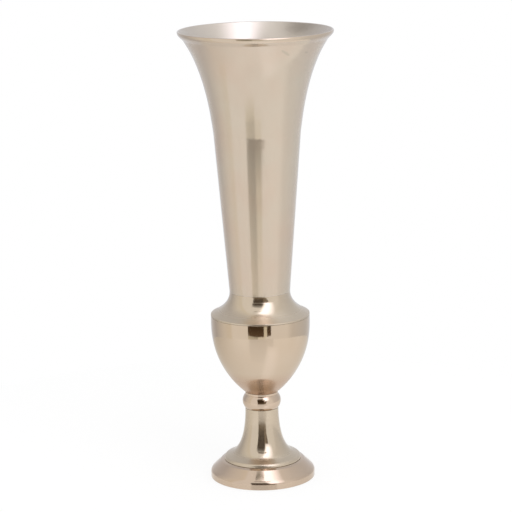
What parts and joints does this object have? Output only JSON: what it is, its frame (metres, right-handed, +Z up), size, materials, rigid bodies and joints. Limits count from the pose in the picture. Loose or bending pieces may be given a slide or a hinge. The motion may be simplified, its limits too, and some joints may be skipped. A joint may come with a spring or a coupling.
{
  "type": "trumpet vase",
  "caption": "Tall metal vase: flared trumpet over a coved shoulder and urn bowl, on a knop, flaring stem and stepped round foot, stacked on a hidden tie rod.",
  "frame": {"origin": "on the ground under the vase's axis, in the plane of the felt pads' undersides", "axes": "+Z up along the vase's axis, towards the mouth; X and Y level, with the felt pads on the diagonals"},
  "size_m": [0.2064, 0.2064, 0.6102],
  "materials": {
    "champagne_satin": "spun aluminium, champagne plated outside with a soft satin polish, bare silver inside",
    "champagne_bright": "spun and cast aluminium, rose-champagne plated and polished",
    "zinc_steel": "zinc-plated steel",
    "seal_rubber": "black rubber",
    "pad_felt": "dark grey felt"
  },
  "bodies": {
    "root": {"trumpet": "champagne_satin", "shoulder": "champagne_bright", "bowl": "champagne_bright", "collar": "champagne_bright", "stem": "champagne_bright", "foot": "champagne_bright", "base_plate": "zinc_steel", "tie_rod": "zinc_steel", "top_seal": "seal_rubber", "top_washer": "zinc_steel", "top_dome_nut": "zinc_steel", "bowl_washer": "zinc_steel", "bowl_nut": "zinc_steel", "base_washer": "zinc_steel", "lock_washer": "zinc_steel", "base_nut": "zinc_steel", "felt_pad_1": "pad_felt", "felt_pad_2": "pad_felt", "felt_pad_3": "pad_felt", "felt_pad_4": "pad_felt"}
  },
  "joints": []
}
